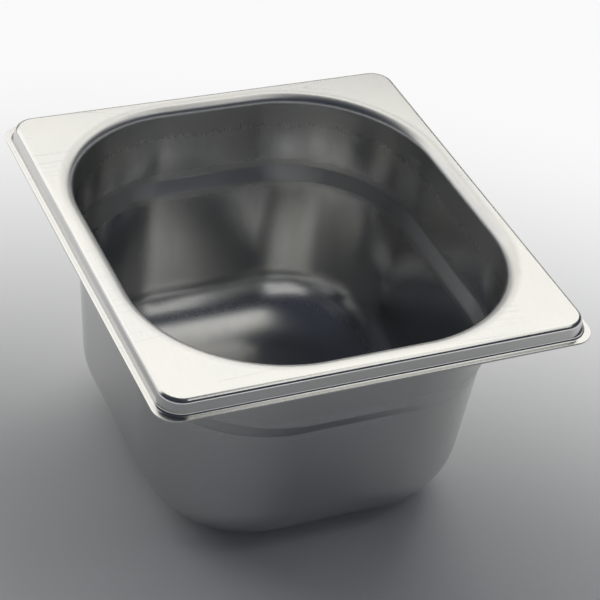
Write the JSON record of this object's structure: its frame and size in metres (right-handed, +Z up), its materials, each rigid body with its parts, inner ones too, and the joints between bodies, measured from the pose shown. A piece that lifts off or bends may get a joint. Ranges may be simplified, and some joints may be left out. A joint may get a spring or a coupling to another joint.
{
  "type": "gastronorm food pan",
  "caption": "Deep-drawn steel food pan with a stepped rim that hangs in a counter well, a stacking shoulder and rounded corners.",
  "frame": {"origin": "middle of the underside of the base, on the surface that the pan stands on", "axes": "+Z up, out of the mouth; +X across the shorter side of the rim; +Y along the longer side"},
  "size_m": [0.162, 0.176, 0.1],
  "materials": {
    "stainless": "satin stainless steel, lightly brushed"
  },
  "bodies": {
    "root": {"pan": "stainless"}
  },
  "joints": []
}
